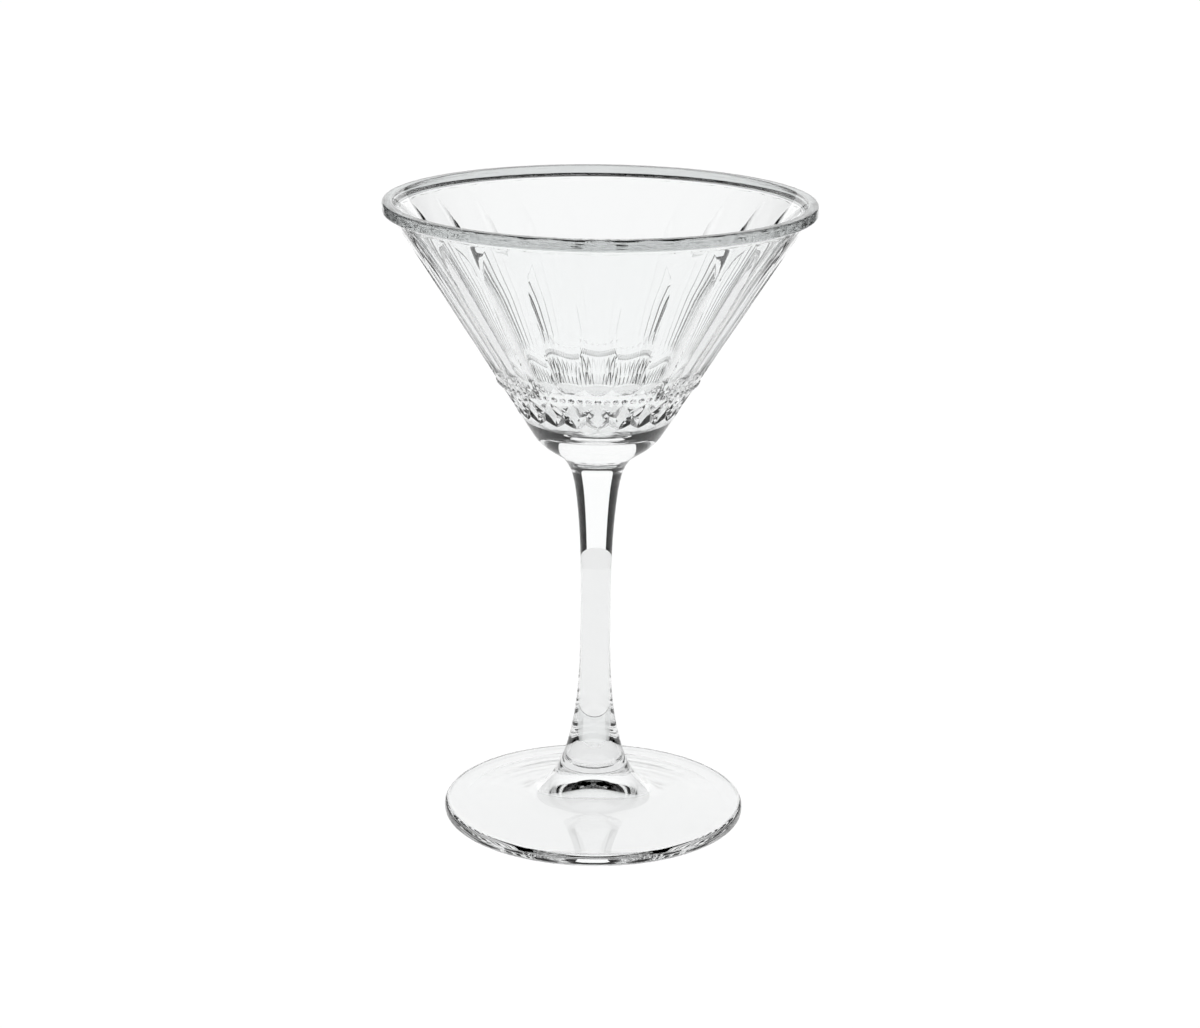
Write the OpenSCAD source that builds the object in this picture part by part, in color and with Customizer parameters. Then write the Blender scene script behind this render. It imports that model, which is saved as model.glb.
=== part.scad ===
// Martini glass in clear pressed crystal: a fluted conical bowl, a drawn stem
// and a round foot, fused end to end while hot. Z points up and the foot
// rests on Z = 0, centred on the origin. Lengths are in millimetres.

/* [Overall] */
// Height of the glass, from the table to the top of the lip
glass_h = 162; // [135:1:200]
// Outside diameter of the lip
rim_d = 108; // [90:1:130]
// Outside diameter of the foot
foot_d = 78; // [65:1:94]

/* [Joints] */
// Diameter of the fused joint between the bowl and the stem
neck_d = 18.6; // [15:0.1:22.4]
// Diameter of the fused joint between the stem and the foot
seat_d = 15.4; // [12:0.1:18.5]

/* [Bowl] */
// Height of the bowl, from its joint with the stem to the top of the lip
bowl_h = 65.5; // [58:0.5:78]
// Outside diameter of the cone where its straight side begins
shoulder_d = 34.8; // [29:0.1:42]
// Height above the joint at which the straight side begins
shoulder_h = 7.5; // [6.5:0.1:9]
// Radius that rounds the shoulder into the shallow cone under the bowl
shoulder_r = 13; // [6:0.5:14]
// Angle of that shallow cone, from level
underside_angle = 33; // [28:1:40]
// Thickness of the wall at the shoulder, measured level
wall_low = 2.9; // [2.3:0.1:3.5]
// Thickness of the wall just under the lip, measured level
wall_lip = 2.3; // [1.8:0.1:2.8]
// Thickness of the solid glass between the joint and the drink
base_t = 7.5; // [6:0.5:10]
// Radius of the corner inside the bottom of the bowl
inner_r = 7; // [4:0.5:9]
// Height of the lip's upright outer face
lip_h = 2.8; // [2.2:0.1:3.4]
// How far the lip stands out from the wall, half way up that face
lip_proud = 1; // [0.6:0.1:1.4]
// Radius of the lip's three rounded corners
lip_r = 0.6; // [0.4:0.05:0.8]

/* [Flutes] */
// Number of flutes round the bowl, and of crosses in the band below them
flute_count = 24; // [20:1:28]
// Height above the bowl's joint at which the flutes start
flute_low = 21.9; // [21:0.1:24]
// Height left plain between the top of the flutes and the lip
flute_margin = 4; // [3:0.1:8]
// Width of the land left between two flutes at their tops
flute_land = 0.5; // [0.2:0.05:1]
// Radius on which a flute runs out at both of its ends
flute_end_r = 6; // [3:0.5:9]

/* [Band] */
// Height above the bowl's joint of the middle of the beads
bead_h = 20; // [19:0.1:20.5]
// Diameter of a bead
bead_d = 1.9; // [1.4:0.1:2.2]
// Beads below each flute
beads_per_flute = 3; // [2:1:4]
// How far a bead stands out from the wall
bead_proud = 0.45; // [0.3:0.05:0.7]
// Height above the bowl's joint of the middle of the crosses
cross_h = 15.2; // [14.6:0.1:15.6]
// Height of the band of crosses
cross_band = 7.4; // [6:0.1:8]
// Depth of the mitred cuts that make the crosses
cross_depth = 0.6; // [0.3:0.05:0.8]

/* [Stem] */
// Diameter of the stem at its waist
waist_d = 7.7; // [6.4:0.1:9.2]
// Height of the waist above the stem's joint with the foot
waist_h = 39.7; // [32:0.1:48]
// Diameter of the long flare just under the collar
flare_d = 13.8; // [11:0.1:15]

/* [Foot] */
// Height of the foot, from the table to its joint with the stem
foot_h = 16.3; // [14:0.1:19.6]
// Thickness of the foot at its edge
edge_t = 3.3; // [2.6:0.1:4]
// Radius of the two corners of the edge
edge_r = 1.3; // [0.8:0.1:1.3]
// Rise of the foot's top from its edge towards its middle
foot_rise = 2.2; // [1:0.1:3.5]
// Diameter over which the hub spreads into the foot
hub_d = 44; // [36:1:52]
// Width of the flat ring that the foot rests on
rest_w = 3.5; // [2:0.1:5]
// Height of the shallow hollow under the foot
hollow_h = 2.2; // [1.2:0.1:3]
// Height that the punt under the hub adds to the hollow
punt_h = 6.4; // [5:0.1:7.5]
// Diameter over which the punt spreads into the hollow
punt_d = 46; // [38:1:54]

/* [Hidden] */
$fn = 96;

GLASS = [0.86, 0.92, 0.93, 0.45];
// Straight pieces that follow one curved stretch of an outline
CURVE_STEPS = 18;
// Powers of the stem's lower flare, of its long upper flare and of its collar
LOWER_POWER = 3.3;
FLARE_POWER = 2.6;
COLLAR_POWER = 16;
// Power of the hub's hollow side, and of how its points spread out
HUB_POWER = 3.4;
SPREAD_POWER = 1.5;
// Powers of the punt's round top and of its long flank
DOME_POWER = 1.9;
FLANK_POWER = 3.5;
// Height of the lip's underside for each millimetre that it stands out
LIP_UNDERCUT = 0.4;
// Most of the shallow cone's length that the shoulder's rounding may take
ROUND_SHARE = 0.9;
// How far a cutter stands clear of the face that it opens
CLEAR = 1;
// Sides of a bead, which is too small to need more
BEAD_SIDES = 24;

stem_h = glass_h - foot_h - bowl_h;
bowl_z = foot_h + stem_h;

// The cone of the bowl's outside, in the bowl's own heights above its joint
lip_z = bowl_h - lip_h / 2;
crook_z = bowl_h - lip_h - lip_proud * LIP_UNDERCUT;
wall_top_r = rim_d / 2 - lip_proud;
cone_slope = (wall_top_r - shoulder_d / 2) / (lip_z - shoulder_h);
cone_angle = atan(cone_slope);
apex_z = shoulder_h - shoulder_d / 2 / cone_slope;
pitch = 360 / flute_count;

function cone_r(z) = (z - apex_z) * cone_slope;
function cone_length(z) = (z - apex_z) / cos(cone_angle);

// The cone of the bowl's inside
inner_top_r = wall_top_r - wall_lip;
inner_slope = (inner_top_r - shoulder_d / 2 + wall_low) / (lip_z - shoulder_h);
inner_angle = atan(inner_slope);
function inside_r(z) = inner_top_r - (lip_z - z) * inner_slope;

// Points on an arc of radius r about [x, z], from angle a to angle b
function arc(x, z, r, a, b) =
    [
        for (i = [0 : CURVE_STEPS])
            let (t = a + (b - a) * i / CURVE_STEPS)
            [x + r * cos(t), z + r * sin(t)]
    ];

// Radius of the stem at a height above the foot's joint
function stem_r(z) =
    let (
        below = max(0, 1 - z / waist_h),
        above = max(0, z - waist_h) / (stem_h - waist_h)
    )
    waist_d / 2
    + (seat_d - waist_d) / 2 * pow(below, LOWER_POWER)
    + (flare_d - waist_d) / 2 * pow(above, FLARE_POWER)
    + (neck_d - flare_d) / 2 * pow(above, COLLAR_POWER);

// Height of the foot's hollow underside at a radius, within the ring it rests on
function underside(r, rest_r) =
    let (
        dome_r = (pow(rest_r, 2) + pow(hollow_h, 2)) / (2 * hollow_h),
        inward = 1 - pow(min(1, 2 * r / punt_d), DOME_POWER)
    )
    sqrt(pow(dome_r, 2) - pow(r, 2)) - dome_r + hollow_h
    + punt_h * pow(inward, FLANK_POWER);

// Height of the foot's top at a radius
function foot_top(r) =
    let (
        plate = edge_t + foot_rise * (1 - r / (foot_d / 2 - edge_r)),
        up = max(0, (hub_d / 2 - r) / (hub_d - seat_d) * 2),
        seat_plate = edge_t + foot_rise * (1 - seat_d / (foot_d - 2 * edge_r))
    )
    plate + (foot_h - seat_plate) * pow(up, HUB_POWER);

// Outside of the bowl, solid, with its rounded shoulder and upright lip
module bowl_body() {
    side_angle = 90 - cone_angle;
    half_bend = (side_angle - underside_angle) / 2;
    corner_z = (cone_r(0) - neck_d / 2) / (1 / tan(underside_angle) - cone_slope);
    // The shoulder's rounding never takes more of the shallow cone than there is
    shallow = (cone_r(corner_z) - neck_d / 2) / cos(underside_angle);
    round_r = min(shoulder_r, ROUND_SHARE * shallow / tan(half_bend));
    tangent = round_r * tan(half_bend);
    centre = [
        cone_r(corner_z) - tangent * cos(underside_angle) - round_r * sin(underside_angle),
        corner_z - tangent * sin(underside_angle) + round_r * cos(underside_angle)
    ];
    lip_x = rim_d / 2 - lip_r;
    under_angle = atan2(lip_proud * LIP_UNDERCUT, rim_d / 2 - cone_r(crook_z));
    rotate_extrude()
        polygon(concat(
            [[0, 0], [neck_d / 2, 0]],
            arc(centre.x, centre.y, round_r, underside_angle - 90, side_angle - 90),
            [[cone_r(crook_z), crook_z]],
            arc(lip_x, bowl_h - lip_h + lip_r, lip_r, under_angle - 90, 0),
            arc(lip_x, bowl_h - lip_r, lip_r, 0, 90),
            [[0, bowl_h]]
        ));
}

// Space that the drink fills, open at the top
module bowl_inside() {
    fillet_x = inside_r(base_t + inner_r) - inner_r / cos(inner_angle);
    lip_x = inside_r(bowl_h - lip_r) + lip_r / cos(inner_angle);
    rotate_extrude()
        polygon(concat(
            [[0, base_t]],
            arc(fillet_x, base_t + inner_r, inner_r, -90, -inner_angle),
            arc(lip_x, bowl_h - lip_r, lip_r, 180 - inner_angle, 90),
            [[lip_x, bowl_h + CLEAR], [0, bowl_h + CLEAR]]
        ));
}

// Flat cut of one flute, which runs out on a curve at both of its ends
module flute_cutter() {
    low = cone_length(flute_low);
    high = cone_length(bowl_h - flute_margin);
    half_pitch = high * sin(cone_angle) * tan(pitch / 2);
    depth = pow(half_pitch - flute_land / 2, 2) / (2 * high * tan(cone_angle));
    translate([0, 0, apex_z])
        rotate([0, cone_angle - asin(depth / high), 0])
            rotate([90, 0, 0])
                linear_extrude(2 * half_pitch, center = true)
                    union() {
                        for (end = [low + flute_end_r, high - flute_end_r])
                            translate([flute_end_r, end]) circle(flute_end_r);
                        translate([0, low + flute_end_r])
                            square([flute_end_r, high - low - 2 * flute_end_r]);
                        translate([flute_end_r, low]) square([flute_end_r, high - low]);
                    }
}

// One mitred cut of a cross, leaning to the side that lean gives
module cross_cutter(lean) {
    half_w = cone_r(cross_h) * tan(pitch / 2);
    half_h = cross_band / 2 / cos(cone_angle);
    side = 2 * cross_depth;
    translate([cone_r(cross_h), 0, cross_h])
        rotate([0, cone_angle, 0])
            rotate([lean * atan2(half_w, half_h), 0, 0])
                translate([side / sqrt(2) - cross_depth, 0, 0])
                    rotate([0, 0, 45])
                        cube([side, side, 2 * norm([half_w, half_h])], center = true);
}

module beads() {
    count = flute_count * beads_per_flute;
    sunk = bead_d / 2 - bead_proud;
    for (i = [0 : count - 1])
        rotate([0, 0, (i + 0.5) * 360 / count])
            translate([
                cone_r(bead_h) - sunk * cos(cone_angle),
                0,
                bead_h + sunk * sin(cone_angle)
            ])
                sphere(d = bead_d, $fn = BEAD_SIDES);
}

module bowl() {
    color(GLASS)
        translate([0, 0, bowl_z])
            difference() {
                union() {
                    difference() {
                        bowl_body();
                        for (i = [0 : flute_count - 1])
                            rotate([0, 0, i * pitch]) flute_cutter();
                        for (i = [0 : flute_count - 1], lean = [-1, 1])
                            rotate([0, 0, (i + 0.5) * pitch]) cross_cutter(lean);
                    }
                    beads();
                }
                bowl_inside();
            }
}

module stem() {
    lower = [for (i = [0 : CURVE_STEPS]) waist_h * i / CURVE_STEPS];
    upper = [
        for (i = [1 : 2 * CURVE_STEPS])
            stem_h - (stem_h - waist_h) * pow(1 - i / 2 / CURVE_STEPS, 2)
    ];
    color(GLASS)
        translate([0, 0, foot_h])
            rotate_extrude()
                polygon(concat(
                    [[0, 0]],
                    [for (z = concat(lower, upper)) [stem_r(z), z]],
                    [[0, stem_h]]
                ));
}

module foot() {
    plate_r = foot_d / 2 - edge_r;
    rest_r = plate_r - rest_w;
    beneath = [for (i = [0 : 2 * CURVE_STEPS]) rest_r * i / 2 / CURVE_STEPS];
    hub = [
        for (i = [0 : 2 * CURVE_STEPS])
            (seat_d + (hub_d - seat_d) * pow(i / 2 / CURVE_STEPS, SPREAD_POWER)) / 2
    ];
    color(GLASS)
        rotate_extrude()
            difference() {
                polygon(concat(
                    [[0, foot_h]],
                    [for (r = hub) [r, foot_top(r)]],
                    arc(plate_r, edge_t - edge_r, edge_r, 90, 0),
                    arc(plate_r, edge_r, edge_r, 0, -90),
                    [[0, 0]]
                ));
                polygon(concat(
                    [[0, -CLEAR]],
                    [for (r = beneath) [r, underside(r, rest_r)]],
                    [[rest_r, -CLEAR]]
                ));
            }
}

bowl();
stem();
foot();
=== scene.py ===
"""A martini glass in clear pressed crystal, on a pale table under soft light.

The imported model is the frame, and the three pieces of glass that stand for its
nodes are turned, cut and fused here the way a glassworks makes them: the bowl
is one slice of its repeating pattern, cut once and carried round the axis, and
the stem and the foot are plain turned work. Lengths in the classes are in
millimetres, and everything that goes into Blender is in metres.
"""

import logging
import math
from dataclasses import dataclass
from enum import Enum
from itertools import pairwise

import bmesh
import bpy
from mathutils import Matrix, Vector


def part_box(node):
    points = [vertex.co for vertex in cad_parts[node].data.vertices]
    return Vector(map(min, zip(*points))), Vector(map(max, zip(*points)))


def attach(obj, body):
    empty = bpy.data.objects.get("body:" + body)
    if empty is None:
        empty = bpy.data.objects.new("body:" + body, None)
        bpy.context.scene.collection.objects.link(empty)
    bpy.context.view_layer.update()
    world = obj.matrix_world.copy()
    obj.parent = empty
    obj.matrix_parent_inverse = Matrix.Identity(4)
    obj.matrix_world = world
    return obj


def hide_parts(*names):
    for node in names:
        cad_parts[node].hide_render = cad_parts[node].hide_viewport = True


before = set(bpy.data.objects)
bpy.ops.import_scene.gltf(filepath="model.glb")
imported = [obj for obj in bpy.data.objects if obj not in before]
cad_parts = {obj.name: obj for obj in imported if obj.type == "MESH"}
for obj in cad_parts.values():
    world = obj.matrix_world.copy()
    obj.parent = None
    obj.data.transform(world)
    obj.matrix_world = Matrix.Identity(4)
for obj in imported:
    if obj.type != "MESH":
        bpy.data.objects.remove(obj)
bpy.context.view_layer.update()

LOG = logging.getLogger("martini_glass")

MM = 0.001
# Two points nearer than this are one, in metres
SAME_PLACE = 6e-7
# Edges sharper than this stay crisp when a piece is shaded smooth, in degrees
CRISP_ANGLE = 11


class Side(Enum):
    """The two ways that the cuts of a cross can lean."""

    LEFT = -1
    RIGHT = 1


class Slot(Enum):
    """Material slots of a glass piece."""

    POLISHED = 0
    SEAM = 1
    LIP = 2


@dataclass(frozen=True)
class Corner:
    """A corner of a half section, in millimetres, with the radius that rounds it."""

    r: float
    z: float
    radius: float = 0.0


def linear(code: str) -> tuple[float, float, float, float]:
    """Turns an sRGB hex colour into linear values.

    Args:
        code: The colour, such as "#F4F7F7".

    Returns:
        Red, green, blue and an alpha of 1.
    """
    shades = [int(code[i : i + 2], 16) / 255 for i in (1, 3, 5)]
    toe, gamma = 0.04045, 2.4
    values = [s / 12.92 if s <= toe else ((s + 0.055) / 1.055) ** gamma for s in shades]
    return (*values, 1.0)


def add_node(tree: bpy.types.NodeTree, kind: str, links: dict | None = None, **values) -> bpy.types.Node:
    """Adds a node with its settings and the links into it.

    Args:
        tree: The node tree.
        kind: The node's type.
        links: Input name to the output socket that feeds it.
        **values: Property or input names, with spaces as underscores, and values.

    Returns:
        The new node.
    """
    node = tree.nodes.new(kind)
    for name, value in values.items():
        title = name.replace("_", " ")
        if title in node.inputs:
            node.inputs[title].default_value = value
        else:
            setattr(node, name, value)
    for name, source in (links or {}).items():
        tree.links.new(source, node.inputs[name])
    return node


def rounded(corners: list[Corner], step: float = 7.5) -> list[tuple[float, float]]:
    """Rounds the corners of a half section.

    Args:
        corners: The corners in order, of which the two ends stay sharp.
        step: The most that one piece of an arc turns, in degrees.

    Returns:
        The points of the outline, in millimetres.
    """
    points = [(corners[0].r, corners[0].z)]
    for before, at, after in zip(corners, corners[1:], corners[2:]):
        here = Vector((at.r, at.z))
        back = (Vector((before.r, before.z)) - here).normalized()
        ahead = (Vector((after.r, after.z)) - here).normalized()
        bend = math.pi - back.angle(ahead)
        if at.radius == 0 or bend < 1e-4:
            points.append((at.r, at.z))
            continue
        reach = at.radius * math.tan(bend / 2)
        centre = here + (back + ahead).normalized() * (at.radius / math.cos(bend / 2))
        start = here + back * reach - centre
        turn = math.copysign(bend, back.x * ahead.y - back.y * ahead.x) * -1
        pieces = max(2, math.ceil(math.degrees(bend) / step))
        for i in range(pieces + 1):
            spoke = Matrix.Rotation(turn * i / pieces, 2) @ start
            points.append(tuple(centre + spoke))
    points.append((corners[-1].r, corners[-1].z))
    return points


class Bench:
    """The modelling operations that every piece of glass is made with."""

    @staticmethod
    def clear() -> None:
        """Deselects everything, outside edit mode."""
        if bpy.context.object and bpy.context.object.mode == "EDIT":
            bpy.ops.object.mode_set(mode="OBJECT")
        bpy.ops.object.select_all(action="DESELECT")

    @staticmethod
    def pick(piece: bpy.types.Object) -> None:
        """Makes one object the only selected one, and active."""
        Bench.clear()
        piece.select_set(True)
        bpy.context.view_layer.objects.active = piece

    @staticmethod
    def edit(piece: bpy.types.Object) -> bmesh.types.BMesh:
        """Opens an object in edit mode and returns its mesh."""
        Bench.pick(piece)
        bpy.ops.object.mode_set(mode="EDIT")
        return bmesh.from_edit_mesh(piece.data)

    @staticmethod
    def close() -> None:
        """Leaves edit mode."""
        bpy.ops.object.mode_set(mode="OBJECT")

    @staticmethod
    def settle(piece: bpy.types.Object) -> None:
        """Moves an object's place into its mesh."""
        Bench.pick(piece)
        bpy.ops.object.transform_apply(location=True, rotation=True, scale=True)

    @staticmethod
    def turn(
        name: str, outline: list[tuple[float, float]], steps: int, sweep: float = 360, start: float = 0
    ) -> bpy.types.Object:
        """Turns a half section about the Z axis.

        Args:
            name: The new object's name.
            outline: Points of the half section, in millimetres, from axis to axis.
            steps: Faces round the turn.
            sweep: How far it turns, in degrees.
            start: The azimuth at which it starts, in degrees.

        Returns:
            The turned object, open at its two ends unless it goes all the way.
        """
        way = Vector((math.cos(math.radians(start)), math.sin(math.radians(start)), 0))
        places = [way * (r * MM) + Vector((0, 0, z * MM)) for r, z in outline]
        Bench.clear()
        bpy.ops.mesh.primitive_plane_add(size=MM, location=places[0])
        piece = bpy.context.object
        piece.name = piece.data.name = name
        bpy.ops.object.mode_set(mode="EDIT")
        bpy.ops.mesh.select_mode(type="VERT")
        bpy.ops.mesh.select_all(action="SELECT")
        bpy.ops.mesh.merge(type="CENTER")
        for here, there in pairwise(places):
            bpy.ops.mesh.extrude_vertices_move(TRANSFORM_OT_translate={"value": there - here})
        bpy.ops.mesh.select_all(action="SELECT")
        bpy.ops.mesh.spin(
            steps=steps, angle=math.radians(sweep), center=(0, 0, 0), axis=(0, 0, -1), use_auto_merge=True
        )
        bpy.ops.mesh.select_all(action="SELECT")
        bpy.ops.mesh.remove_doubles(threshold=SAME_PLACE)
        Bench.close()
        Bench.settle(piece)
        return piece

    @staticmethod
    def on_plane(point: Vector, azimuth: float) -> bool:
        """True if a point lies on the upright plane through the axis at an azimuth in degrees."""
        square = Vector((-math.sin(math.radians(azimuth)), math.cos(math.radians(azimuth)), 0))
        return abs(point.dot(square)) < SAME_PLACE

    @staticmethod
    def cap_sides(piece: bpy.types.Object, half: float) -> None:
        """Closes a turned slice with a flat face at each of its sides.

        Args:
            piece: The slice, open at azimuths -half and +half.
            half: Half of its sweep, in degrees.
        """
        for azimuth in (-half, half):
            mesh = Bench.edit(piece)
            bpy.ops.mesh.select_mode(type="EDGE")
            bpy.ops.mesh.select_all(action="DESELECT")
            for edge in mesh.edges:
                ends = [v.co for v in edge.verts]
                edge.select = len(edge.link_faces) < 2 and all(Bench.on_plane(p, azimuth) for p in ends)
            mesh.select_flush_mode()
            bpy.ops.mesh.edge_face_add()
            Bench.close()
        Bench.face_out(piece)

    @staticmethod
    def open_sides(piece: bpy.types.Object, half: float) -> None:
        """Takes the flat side faces off a slice again.

        Args:
            piece: The slice.
            half: Half of its sweep, in degrees.
        """
        mesh = Bench.edit(piece)
        bpy.ops.mesh.select_mode(type="FACE")
        bpy.ops.mesh.select_all(action="DESELECT")
        for face in mesh.faces:
            face.select = any(all(Bench.on_plane(v.co, a) for v in face.verts) for a in (-half, half))
        bpy.ops.mesh.delete(type="ONLY_FACE")
        bpy.ops.mesh.select_all(action="SELECT")
        bpy.ops.mesh.delete_loose(use_verts=True, use_edges=True, use_faces=False)
        Bench.close()

    @staticmethod
    def carry_round(piece: bpy.types.Object, count: int) -> None:
        """Repeats a slice round the axis and merges the copies into one skin.

        Args:
            piece: The slice, 360 / count degrees wide.
            count: Slices in the whole turn.
        """
        Bench.edit(piece)
        bpy.ops.mesh.select_all(action="SELECT")
        rest_of_turn = math.tau * (count - 1) / count
        bpy.ops.mesh.spin(
            steps=count - 1, angle=rest_of_turn, dupli=True, center=(0, 0, 0), axis=(0, 0, 1)
        )
        bpy.ops.mesh.select_all(action="SELECT")
        bpy.ops.mesh.remove_doubles(threshold=SAME_PLACE)
        Bench.close()
        for _ in range(4):
            if not Bench.knit(piece):
                break
        Bench.face_out(piece)

    @staticmethod
    def knit(piece: bpy.types.Object) -> int:
        """Splits open edges at the points that lie on them, and merges the points.

        Args:
            piece: A skin whose slices meet in edges of unequal length.

        Returns:
            The number of edges that were split.
        """
        mesh = Bench.edit(piece)
        open_edges = [edge for edge in mesh.edges if edge.is_boundary]
        ends = {v for edge in open_edges for v in edge.verts}
        split = 0
        for edge in open_edges:
            start = edge.verts[0]
            along = edge.verts[1].co - start.co
            for point in ends - set(edge.verts):
                share = (point.co - start.co).dot(along) / along.length_squared
                off = (point.co - start.co - along * share).length
                if 0.001 < share < 0.999 and off < SAME_PLACE:
                    bmesh.utils.edge_split(edge, start, share)
                    split += 1
                    break
        bmesh.update_edit_mesh(piece.data)
        bpy.ops.mesh.select_all(action="SELECT")
        bpy.ops.mesh.remove_doubles(threshold=SAME_PLACE)
        Bench.close()
        return split

    @staticmethod
    def face_out(piece: bpy.types.Object) -> None:
        """Turns every face of a closed skin outwards."""
        Bench.edit(piece)
        bpy.ops.mesh.select_all(action="SELECT")
        bpy.ops.mesh.normals_make_consistent(inside=False)
        Bench.close()

    @staticmethod
    def combine(piece: bpy.types.Object, tool: bpy.types.Object, operation: str) -> None:
        """Cuts a tool out of a piece, or fuses it on, and throws the tool away.

        Args:
            piece: The glass.
            tool: A closed shape.
            operation: DIFFERENCE or UNION.
        """
        Bench.pick(piece)
        change = piece.modifiers.new("Combine", "BOOLEAN")
        change.operation, change.solver, change.object = operation, "MANIFOLD", tool
        bpy.ops.object.modifier_apply(modifier=change.name)
        bpy.data.objects.remove(tool)

    @staticmethod
    def polish(piece: bpy.types.Object) -> None:
        """Shades a piece smooth, with its sharp edges left crisp."""
        Bench.pick(piece)
        bpy.ops.object.shade_smooth_by_angle(angle=math.radians(CRISP_ANGLE))


@dataclass(frozen=True)
class CrystalFinish:
    """Lead-free crystal, a soda-lime glass that is cleared with potash.

    Pressed or drawn and then fire-polished, so that it is mirror smooth but
    never quite flat: what is seen through it swims a little.
    """

    name: str
    tint: str = "#FBFCFC"
    ior: float = 1.52
    roughness: float = 0.0
    # Width of one ripple that the fire leaves, and how deep it is
    ripple_mm: float = 6.0
    ripple_depth_mm: float = 0.004
    # How many times longer a ripple is along the axis than across it
    drawn_out: float = 1.0

    def material(self) -> bpy.types.Material:
        """Builds the glass material."""
        made = bpy.data.materials.new(self.name)
        made.use_nodes = True
        tree = made.node_tree
        tree.nodes.clear()
        place = add_node(tree, "ShaderNodeTexCoord")
        stretch = add_node(
            tree, "ShaderNodeMapping", {"Vector": place.outputs["Object"]}, Scale=(1, 1, 1 / self.drawn_out)
        )
        ripple = add_node(
            tree,
            "ShaderNodeTexNoise",
            {"Vector": stretch.outputs["Vector"]},
            Scale=1 / (self.ripple_mm * MM),
            Detail=1.0,
        )
        bump = add_node(
            tree,
            "ShaderNodeBump",
            {"Height": ripple.outputs["Fac"]},
            Strength=1.0,
            Distance=self.ripple_depth_mm * MM,
        )
        glass = add_node(
            tree,
            "ShaderNodeBsdfPrincipled",
            {"Normal": bump.outputs["Normal"]},
            Base_Color=linear(self.tint),
            Roughness=self.roughness,
            IOR=self.ior,
            Transmission_Weight=1.0,
        )
        add_node(tree, "ShaderNodeOutputMaterial", {"Surface": glass.outputs["BSDF"]})
        return made


@dataclass(frozen=True)
class SeamFinish:
    """The inside of a hot-fused seam, where two pieces have become one glass.

    There is no surface left there to bend or mirror light, so it is clear.
    """

    name: str = "fused_seam"

    def material(self) -> bpy.types.Material:
        """Builds the material of the fused faces."""
        made = bpy.data.materials.new(self.name)
        made.use_nodes = True
        tree = made.node_tree
        tree.nodes.clear()
        clear = add_node(tree, "ShaderNodeBsdfTransparent")
        add_node(tree, "ShaderNodeOutputMaterial", {"Surface": clear.outputs["BSDF"]})
        return made


class GlassPiece:
    """A piece of glass that stands for one CAD node."""

    node: str
    slot: str
    finish: CrystalFinish
    seams: tuple[float, ...]

    def build(self) -> bpy.types.Object:
        """Models the piece and returns its object."""
        raise NotImplementedError

    def dress(self, piece: bpy.types.Object) -> None:
        """Gives the piece its two materials and puts it on the frame.

        Args:
            piece: The finished mesh object.
        """
        piece.data.materials.clear()
        piece.data.materials.append(self.finish.material())
        piece.data.materials.append(bpy.data.materials.get(SeamFinish.name) or SeamFinish().material())
        for face in piece.data.polygons:
            face.material_index = self.slot_of(face).value
        # Light passes through the glass, so it throws no hard shadow
        piece.visible_shadow = False
        piece.visible_diffuse = False
        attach(piece, "root")
        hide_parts(self.node)

    def slot_of(self, face: bpy.types.MeshPolygon) -> Slot:
        """Chooses the material slot of a face by its place."""
        flat = abs(face.normal.z) > 0.999
        fused = any(abs(face.center.z - z * MM) < SAME_PLACE for z in self.seams)
        return Slot.SEAM if flat and fused else Slot.POLISHED

    def make(self) -> bpy.types.Object:
        """Builds and dresses the piece, and reports it."""
        piece = self.build()
        Bench.polish(piece)
        self.dress(piece)
        LOG.info("%s: %d faces", piece.name, len(piece.data.polygons))
        return piece


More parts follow.
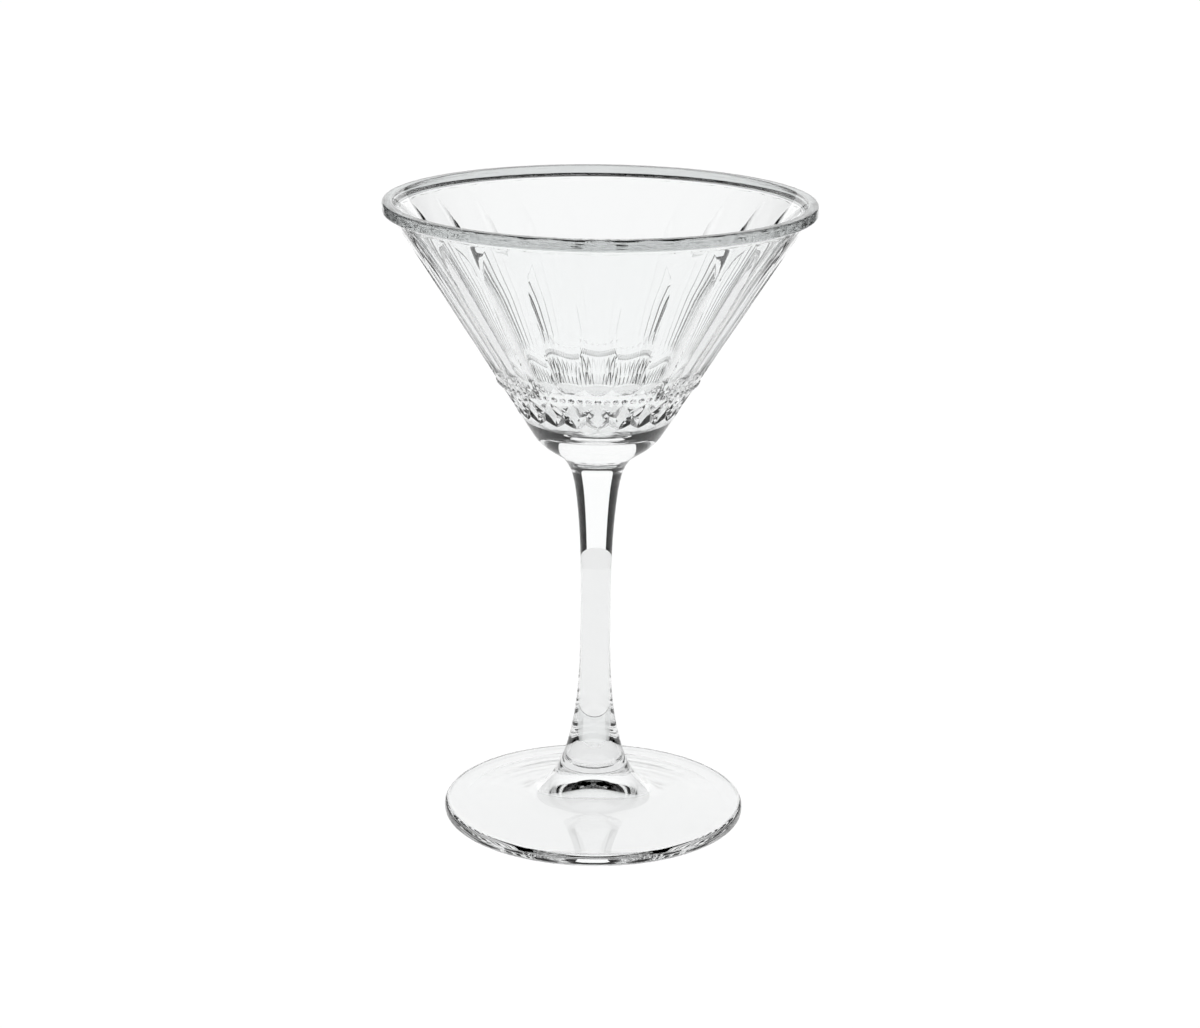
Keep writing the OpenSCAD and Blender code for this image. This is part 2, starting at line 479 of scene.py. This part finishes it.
@dataclass
class Bowl(GlassPiece):
    """The pressed bowl: lip, flutes, beads, band of crosses and solid base."""

    joint_z: float
    top_z: float
    rim_r: float
    neck_r: float = 9.3
    shoulder_r: float = 17.4
    shoulder_h: float = 7.5
    shoulder_round: float = 13.0
    underside_angle: float = 33.0
    wall_low: float = 2.9
    wall_lip: float = 2.3
    base_t: float = 7.5
    inner_round: float = 7.0
    lip_r: float = 1.4
    lip_proud: float = 1.0
    lip_h: float = 2.8
    lip_round: float = 0.6
    flutes: int = 24
    flute_low: float = 22.0
    flute_margin: float = 4.0
    flute_land: float = 0.06
    flute_edge_low: float = 20.0
    flute_edge_top: float = 7.0
    flute_run_low: float = 2.2
    flute_run_top: float = 11.0
    flute_blunt: float = 0.7
    land_columns: int = 2
    # Where the plain cone's rows of points start, and how far they stop below the crosses
    plain_low: float = 6.7
    row_clear: float = 0.4
    # How far the inside's rows start above the middle of its rounded corner
    fillet_clear: float = 0.3
    plain_rows: int = 5
    inside_rows: int = 40
    # Height of the lip's underside for each millimetre that it stands out
    lip_undercut: float = 0.4
    bead_h: float = 20.0
    bead_r: float = 0.95
    bead_proud: float = 0.45
    beads_per_flute: int = 3
    cross_h: float = 15.2
    cross_band: float = 7.4
    cross_depth: float = 0.75
    cross_half_w: float = 1.5
    steps: int = 24

    node = "bowl"
    slot = "bowl_glass"

    def __post_init__(self) -> None:
        """Works out the cone that the bowl's straight side lies on."""
        self.height = self.top_z - self.joint_z
        self.lip_z = self.height - self.lip_r
        self.wall_top_r = self.rim_r - self.lip_proud
        self.slope = (self.wall_top_r - self.shoulder_r) / (self.lip_z - self.shoulder_h)
        self.angle = math.atan(self.slope)
        self.apex_z = self.shoulder_h - self.shoulder_r / self.slope
        self.inner_top_r = self.wall_top_r - self.wall_lip
        inner_rise = self.inner_top_r - self.shoulder_r + self.wall_low
        self.inner_slope = inner_rise / (self.lip_z - self.shoulder_h)
        self.pitch = 360 / self.flutes
        self.seams = (self.joint_z,)
        self.finish = CrystalFinish("pressed_crystal_bowl", ripple_mm=9, ripple_depth_mm=0.002)
        # The lip's grey tint is painted shade that darkens its band; its drawn-out ripple is the grain of the
        # fire-polished finish.
        self.lip_grain_and_painted_shade = CrystalFinish(
            "fire_finished_lip_painted_shade", tint="#BEC2C2", ripple_mm=8, ripple_depth_mm=0.07, drawn_out=0.04
        )

    def dress(self, piece: bpy.types.Object) -> None:
        """Dresses the bowl, whose lip has a finish of its own: a fire-polished grain, and a grey tint that is
        painted shade.
        """
        super().dress(piece)
        piece.data.materials.append(self.lip_grain_and_painted_shade.material())

    def slot_of(self, face: bpy.types.MeshPolygon) -> Slot:
        """Chooses the material slot of a face, with the lip's outside apart."""
        z = face.center.z / MM - self.joint_z
        radius = math.hypot(face.center.x, face.center.y) / MM
        outside = radius > self.inner_r(z) + 0.15
        if z > self.height - self.lip_h - 0.2 and outside:
            return Slot.LIP
        return super().slot_of(face)

    def cone_r(self, z: float) -> float:
        """Radius of the outside cone at a height above the joint."""
        return (z - self.apex_z) * self.slope

    def inner_r(self, z: float) -> float:
        """Radius of the inside cone at a height above the joint."""
        return self.inner_top_r - (self.lip_z - z) * self.inner_slope

    def outline(self) -> list[tuple[float, float]]:
        """The bowl's half section, from the joint round the lip to the inside's bottom."""
        tip = math.tan(math.radians(self.underside_angle))
        shoulder_z = (self.cone_r(0) - self.neck_r) / (1 / tip - self.slope)
        crook_z = self.height - self.lip_h - self.lip_proud * self.lip_undercut
        plain_high = self.cross_h - self.cross_band / 2 - self.row_clear
        wall_low = self.base_t + self.inner_round / 2 + self.fillet_clear
        wall_high = self.height - 2 * self.lip_round
        outside = [
            Corner(0, 0),
            Corner(self.neck_r, 0),
            Corner(self.cone_r(shoulder_z), shoulder_z, self.shoulder_round),
            *(Corner(self.cone_r(z), z) for z in self.rows(self.plain_low, plain_high, self.plain_rows)),
            *(Corner(self.cone_r(z), z) for z in self.flute_rows()),
            Corner(self.cone_r(crook_z), crook_z, self.lip_r),
            Corner(self.rim_r, self.height - self.lip_h, self.lip_round),
            Corner(self.rim_r, self.height, self.lip_round),
            Corner(self.inner_r(self.height), self.height, self.lip_round),
        ]
        inside = [
            *(Corner(self.inner_r(z), z) for z in reversed(self.rows(wall_low, wall_high, self.inside_rows))),
            Corner(self.inner_r(self.base_t), self.base_t, self.inner_round),
            Corner(0, self.base_t),
        ]
        return [(r, z + self.joint_z) for r, z in rounded(outside + inside)]

    def on_cone(self, tool: bpy.types.Object, azimuth: float, z: float, tilt: float = 0) -> None:
        """Stands a tool on the cone, its Z along the wall and its X outwards.

        Args:
            tool: The object, modelled about the origin.
            azimuth: Where it goes round the bowl, in degrees.
            z: Height above the joint, in millimetres.
            tilt: Turn about the outward direction, in degrees.
        """
        foot = Vector((self.cone_r(z) * MM, 0, (self.joint_z + z) * MM))
        tool.matrix_world = (
            Matrix.Rotation(math.radians(azimuth), 4, "Z")
            @ Matrix.Translation(foot)
            @ Matrix.Rotation(self.angle, 4, "Y")
            @ Matrix.Rotation(math.radians(tilt), 4, "X")
            @ tool.matrix_world
        )
        Bench.settle(tool)

    def half_pitch(self, z: float) -> float:
        """Half the width of a flute's place at a height, in millimetres."""
        return self.cone_r(z) * math.tan(math.radians(self.pitch / 2))

    def flute_curve(self, z: float) -> float:
        """Curvature of a flute's hollow against the cone, per millimetre."""
        share = (z - self.flute_low) / (self.height - self.flute_margin - self.flute_low)
        edge = self.flute_edge_low + (self.flute_edge_top - self.flute_edge_low) * share
        hollow = self.half_pitch(z) * (1 - self.flute_land) / math.sin(math.radians(edge))
        return 1 / hollow + math.cos(self.angle) / self.cone_r(z)

    def flute_cut(self, z: float) -> tuple[float, float]:
        """Depth and half width of a flute at a height, with its rounded ends.

        Args:
            z: Height above the joint, in millimetres.

        Returns:
            The cut's depth at its middle and its half width, both 0 at the ends.
        """
        reach = self.half_pitch(z) * (1 - self.flute_land)
        full = reach * reach / 2 * self.flute_curve(z)
        up, down = z - self.flute_low, self.height - self.flute_margin - z
        low_end = max(0.0, min(1.0, up / self.flute_run_low)) ** self.flute_blunt
        high_end = max(0.0, min(1.0, down / self.flute_run_top))
        depth = full * low_end * high_end
        return depth, reach * math.sqrt(low_end * high_end)

    @staticmethod
    def rows(low: float, high: float, gaps: int) -> list[float]:
        """Even heights from low to high, which keep the shading of a long wall true."""
        return [low + (high - low) * i / gaps for i in range(gaps + 1)]

    def flute_rows(self) -> list[float]:
        """Heights of the rows of points along a flute, closer at its ends."""
        high = self.height - self.flute_margin
        close = [0, 0.06, 0.2, 0.45, 0.8, 1.2, 1.7, 2.3, 3.0, 3.8]
        near = [self.flute_low + c for c in close]
        far = [high - c for c in reversed(close)]
        gaps = 12
        middle = [near[-1] + (far[0] - near[-1]) * i / gaps for i in range(1, gaps)]
        return near + middle + far

    def press_flute(self, piece: bpy.types.Object) -> None:
        """Moves the points of a slice's side into the hollow of a flute.

        Args:
            piece: The slice, whose points stand in rows and even columns.
        """
        half = math.radians(self.pitch / 2)
        side = self.steps // 2
        inner = side - self.land_columns
        low, high = self.flute_low, self.height - self.flute_margin
        mesh = Bench.edit(piece)
        for vertex in mesh.verts:
            x, y, z = (c / MM for c in vertex.co)
            z -= self.joint_z
            if not low - 1e-3 < z < high + 1e-3 or abs(math.hypot(x, y) - self.cone_r(z)) > 0.01:
                continue
            depth, half_w = self.flute_cut(z)
            column = round(math.atan2(y, x) / half * side)
            beyond = abs(column) - inner
            if beyond <= 0:
                across = half_w * column / inner
                cut = depth - across * across / 2 * self.flute_curve(z)
            else:
                spare = self.half_pitch(z) - half_w
                across = math.copysign(half_w + spare * beyond / self.land_columns, column)
                cut = 0.0
            azimuth = math.atan(across / self.cone_r(z))
            radius = self.cone_r(z) - cut * math.cos(self.angle)
            rise = cut * math.sin(self.angle)
            vertex.co = Vector(
                (radius * math.cos(azimuth), radius * math.sin(azimuth), self.joint_z + z + rise)
            ) * MM
        bpy.ops.mesh.select_mode(type="VERT")
        bpy.ops.mesh.select_all(action="SELECT")
        bpy.ops.mesh.remove_doubles(threshold=SAME_PLACE)
        Bench.close()

    def cross_tool(self, azimuth: float, lean: Side) -> bpy.types.Object:
        """The mitred wheel that makes one leaf-shaped cut of a cross.

        Args:
            azimuth: Where the cross is, in degrees.
            lean: Which way the cut leans.

        Returns:
            The part of the wheel that meets the wall.
        """
        half_w, half_h = self.half_pitch(self.cross_h), self.cross_band / 2 / math.cos(self.angle)
        curve = math.cos(self.angle) / self.cone_r(self.cross_h) * (half_w / math.hypot(half_w, half_h)) ** 2
        wheel_r = 1 / (2 * self.cross_depth / (half_w**2 + half_h**2) - curve)
        tall = 1.6 * self.cross_depth
        wide = tall / self.cross_depth * self.cross_half_w
        section = [(0, -wide), (wheel_r - tall, -wide), (wheel_r, 0), (wheel_r - tall, wide), (0, wide)]
        spread = 2.6 * math.degrees(math.asin(math.hypot(half_w, half_h) / wheel_r))
        tool = Bench.turn("mitred_wheel", section, 20, spread, -spread / 2)
        Bench.cap_sides(tool, spread / 2)
        tool.matrix_world = Matrix.Translation(
            Vector(((wheel_r - self.cross_depth) * MM, 0, 0))
        ) @ Matrix.Rotation(math.pi, 4, "Z")
        Bench.settle(tool)
        tilt = lean.value * math.degrees(math.atan2(half_w, half_h))
        self.on_cone(tool, azimuth, self.cross_h, 90 + tilt)
        return tool

    def bead_tool(self, azimuth: float) -> bpy.types.Object:
        """One bead, sunk into the wall so that its set height stands proud."""
        Bench.clear()
        bpy.ops.mesh.primitive_uv_sphere_add(segments=36, ring_count=18, radius=self.bead_r * MM)
        bead = bpy.context.object
        bead.location.x = (self.bead_proud - self.bead_r) * MM
        Bench.settle(bead)
        self.on_cone(bead, azimuth, self.bead_h)
        return bead

    def build(self) -> bpy.types.Object:
        """Models one slice of the pattern, carries it round and closes the skin."""
        half = self.pitch / 2
        piece = Bench.turn("crystal_bowl", self.outline(), self.steps, self.pitch, -half)
        self.press_flute(piece)
        Bench.cap_sides(piece, half)
        for azimuth in (-half, half):
            for lean in Side:
                Bench.combine(piece, self.cross_tool(azimuth, lean), "DIFFERENCE")
        gap = self.pitch / self.beads_per_flute
        for i in range(self.beads_per_flute):
            azimuth = (i - (self.beads_per_flute - 1) / 2) * gap
            Bench.combine(piece, self.bead_tool(azimuth), "UNION")
        Bench.open_sides(piece, half)
        Bench.carry_round(piece, self.flutes)
        return piece


@dataclass
class Stem(GlassPiece):
    """The drawn stem, waisted and flared at both of its ends."""

    foot_z: float
    neck_z: float
    seat_r: float
    neck_r: float = 9.3
    waist_r: float = 3.85
    waist_h: float = 39.7
    flare_r: float = 6.9
    lower_power: float = 3.3
    flare_power: float = 2.6
    collar_power: float = 16.0
    lengths: int = 90
    steps: int = 96

    node = "stem"
    slot = "stem_glass"

    def __post_init__(self) -> None:
        """Works out the stem's length and finish."""
        self.length = self.neck_z - self.foot_z
        self.seams = (self.foot_z, self.neck_z)
        self.finish = CrystalFinish("drawn_crystal_stem", ripple_mm=3, ripple_depth_mm=0.0015, drawn_out=8)

    def radius(self, z: float) -> float:
        """Radius at a height above the joint with the foot."""
        below = max(0.0, 1 - z / self.waist_h)
        above = max(0.0, z - self.waist_h) / (self.length - self.waist_h)
        return (
            self.waist_r
            + (self.seat_r - self.waist_r) * below**self.lower_power
            + (self.flare_r - self.waist_r) * above**self.flare_power
            + (self.neck_r - self.flare_r) * above**self.collar_power
        )

    def build(self) -> bpy.types.Object:
        """Turns the stem."""
        heights = [self.length * (1 - (1 - i / self.lengths) ** 1.3) for i in range(self.lengths + 1)]
        side = [(self.radius(z), z + self.foot_z) for z in heights]
        outline = [(0, self.foot_z), *side, (0, self.neck_z)]
        piece = Bench.turn("crystal_stem", outline, self.steps)
        Bench.face_out(piece)
        return piece


@dataclass
class Foot(GlassPiece):
    """The pressed foot, with its hub above and a shallow hollow beneath."""

    height: float
    rim_r: float
    seat_r: float = 7.7
    edge_t: float = 3.3
    edge_r: float = 1.3
    rise: float = 2.2
    hub_r: float = 22.0
    hub_power: float = 3.4
    rest_w: float = 3.5
    hollow_h: float = 2.2
    punt_h: float = 6.4
    punt_r: float = 23.0
    punt_dome: float = 1.9
    punt_flank: float = 3.5
    hub_points: int = 48
    hollow_points: int = 48
    steps: int = 256

    node = "foot"
    slot = "foot_glass"

    def __post_init__(self) -> None:
        """Works out the foot's finish."""
        self.seams = (self.height,)
        self.finish = CrystalFinish("pressed_crystal_foot", ripple_mm=9, ripple_depth_mm=0.003)

    def top(self, r: float) -> float:
        """Height of the foot's top at a radius."""
        plate_r = self.rim_r - self.edge_r
        plate = self.edge_t + self.rise * (1 - r / plate_r)
        seat_plate = self.edge_t + self.rise * (1 - self.seat_r / plate_r)
        up = max(0.0, (self.hub_r - r) / (self.hub_r - self.seat_r))
        return plate + (self.height - seat_plate) * up**self.hub_power

    def punt(self, r: float) -> float:
        """How much the punt under the hub adds to the hollow at a radius."""
        inward = 1 - min(1, r / self.punt_r) ** self.punt_dome
        return self.punt_h * inward**self.punt_flank

    def build(self) -> bpy.types.Object:
        """Turns the foot."""
        rest_r = self.rim_r - self.edge_r - self.rest_w
        dome_r = (rest_r**2 + self.hollow_h**2) / (2 * self.hollow_h)
        hollow = [rest_r * i / self.hollow_points for i in range(self.hollow_points + 1)]
        beneath = [(r, math.sqrt(dome_r**2 - r**2) - dome_r + self.hollow_h + self.punt(r)) for r in hollow]
        edge = rounded(
            [
                Corner(rest_r, 0),
                Corner(self.rim_r, 0, self.edge_r),
                Corner(self.rim_r, self.edge_t, self.edge_r),
                Corner(self.hub_r, self.top(self.hub_r)),
            ]
        )
        spread = [(1 - i / self.hub_points) ** 1.5 for i in range(1, self.hub_points + 1)]
        hub_rs = [self.seat_r + (self.hub_r - self.seat_r) * s for s in spread]
        hub = [(r, self.top(r)) for r in hub_rs]
        outline = [*beneath, *edge[1:], *hub, (0, self.height)]
        piece = Bench.turn("crystal_foot", outline, self.steps)
        Bench.face_out(piece)
        return piece


@dataclass
class Viewpoint:
    """The camera, in front of the glass and a little above it."""

    away: float = 687.4
    height: float = 283.3
    aside: float = 0.85
    pitch: float = 16.41
    roll: float = 0.70
    lens: float = 84.1

    def build(self) -> bpy.types.Object:
        """Makes the scene's camera."""
        data = bpy.data.cameras.new("camera")
        data.lens, data.sensor_width = self.lens, 36
        camera = bpy.data.objects.new("camera", data)
        bpy.context.scene.collection.objects.link(camera)
        camera.matrix_world = (
            Matrix.Translation(Vector((self.aside, -self.away, self.height)) * MM)
            @ Matrix.Rotation(math.radians(90 - self.pitch), 4, "X")
            @ Matrix.Rotation(math.radians(self.roll), 4, "Z")
        )
        bpy.context.scene.camera = camera
        return camera


@dataclass
class Studio:
    """A pale table with no visible end, soft light, and a white card behind the glass.

    Through the glass there is only the card, and a smaller disc of greyer table,
    whose grey is painted shade beneath the glass: all the rest is black, and that
    draws the glass's dark edges. The card follows the camera round the table, as a photographer would carry
    it.
    """

    floor_r: float = 8000.0
    near_r: float = 288.0
    # Grey of the disc seen only through the glass: painted shade under the glass
    near_painted_shade: str = "#E4E4E4"
    # Level of the near disc; the table top lies twice as low, and both clear the foot
    under: float = -0.02
    white: float = 1.06
    card_y: float = 500.0
    card_half_w: float = 255.0
    card_h: float = 1800.0
    sun: float = 3.6

    def world(self) -> None:
        """Makes the air white to the eye, and dark through the glass."""
        world = bpy.data.worlds.new("studio")
        bpy.context.scene.world = world
        world.use_nodes = True
        glow = world.node_tree.nodes["Background"]
        glow.inputs["Color"].default_value = (1, 1, 1, 1)
        glow.inputs["Strength"].default_value = self.white
        seen_by = world.cycles_visibility
        seen_by.diffuse = seen_by.glossy = seen_by.transmission = False

    def matt(self, name: str, shade: str) -> bpy.types.Material:
        """Makes a matt paint.

        Args:
            name: The material's name.
            shade: Its colour, as an sRGB hex value.

        Returns:
            The material.
        """
        made = bpy.data.materials.new(name)
        made.use_nodes = True
        paint = made.node_tree.nodes["Principled BSDF"]
        paint.inputs["Base Color"].default_value = linear(shade)
        paint.inputs["Roughness"].default_value = 1.0
        paint.inputs["Specular IOR Level"].default_value = 0.0
        return made

    def floor(self) -> None:
        """Lays the pale table top, and a greyer disc under the glass that only the glass sees, painted shade.
        """
        Bench.clear()
        bpy.ops.mesh.primitive_circle_add(
            vertices=96, radius=self.floor_r * MM, fill_type="NGON", location=(0, 0, 2 * self.under * MM)
        )
        floor = bpy.context.object
        floor.name = "table_top"
        floor.data.materials.append(self.matt("pale_table", "#F2F2F2"))
        floor.visible_glossy = floor.visible_transmission = False
        # A greyer disc just above the table, seen only through the glass: painted shade under it
        Bench.clear()
        bpy.ops.mesh.primitive_circle_add(
            vertices=96, radius=self.near_r * MM, fill_type="NGON", location=(0, 0, self.under * MM)
        )
        near = bpy.context.object
        near.name = "painted_shade_under_the_glass"
        near.data.materials.append(self.matt("painted_shade_table", self.near_painted_shade))
        near.visible_camera = near.visible_shadow = near.visible_diffuse = False

    def lamp(self) -> None:
        """Hangs the broad overhead light that whitens the table."""
        data = bpy.data.lights.new("overhead", "SUN")
        data.energy, data.angle = self.sun, math.radians(60)
        lamp = bpy.data.objects.new("overhead", data)
        lamp.visible_glossy = lamp.visible_transmission = False
        bpy.context.scene.collection.objects.link(lamp)

    def card(
        self, camera: bpy.types.Object, name: str, place: Matrix, size: tuple[float, float], glow: float
    ) -> None:
        """Stands one card near the glass, carried by the camera.

        Args:
            camera: The camera.
            name: The card's name.
            place: Where its middle is and how it is turned, in millimetres.
            size: Its two sides, in millimetres.
            glow: How bright it is, from 0 for black.
        """
        Bench.clear()
        bpy.ops.mesh.primitive_plane_add(size=1)
        card = bpy.context.object
        card.name = name
        card.matrix_world = Matrix.Scale(MM, 4) @ place @ Matrix.Diagonal((*size, 1, 1))
        Bench.settle(card)
        made = bpy.data.materials.new(name)
        made.use_nodes = True
        made.node_tree.nodes.clear()
        light = add_node(made.node_tree, "ShaderNodeEmission", Color=(1, 1, 1, 1), Strength=glow)
        add_node(made.node_tree, "ShaderNodeOutputMaterial", {"Surface": light.outputs["Emission"]})
        card.data.materials.append(made)
        card.visible_camera = card.visible_diffuse = card.visible_shadow = False
        card.parent = camera
        card.matrix_parent_inverse = camera.matrix_world.inverted()

    def build(self, camera: bpy.types.Object) -> None:
        """Sets the studio up round the glass."""
        scene = bpy.context.scene
        scene.view_settings.view_transform = "Standard"
        scene.cycles.max_bounces = 32
        scene.cycles.transmission_bounces = 24
        scene.cycles.glossy_bounces = 16
        scene.cycles.transparent_max_bounces = 24
        self.world()
        self.floor()
        self.lamp()
        upright = Matrix.Translation((0, self.card_y, 0)) @ Matrix.Rotation(math.radians(90), 4, "X")
        self.card(camera, "white_card", upright, (2 * self.card_half_w, self.card_h), self.white)


def main() -> None:
    """Builds the camera, the three pieces of glass and the studio."""
    logging.basicConfig(level=logging.INFO, format="%(message)s")
    camera = Viewpoint().build()
    bpy.context.view_layer.update()
    bowl_low, bowl_high = (Vector(c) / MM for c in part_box("bowl"))
    foot_low, foot_high = (Vector(c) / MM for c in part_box("foot"))
    pieces = (
        Bowl(bowl_low.z, bowl_high.z, bowl_high.x),
        Stem(foot_high.z, bowl_low.z, Foot.seat_r),
        Foot(foot_high.z, foot_high.x),
    )
    for piece in pieces:
        piece.make()
    Studio().build(camera)


if __name__ == "__main__":
    main()
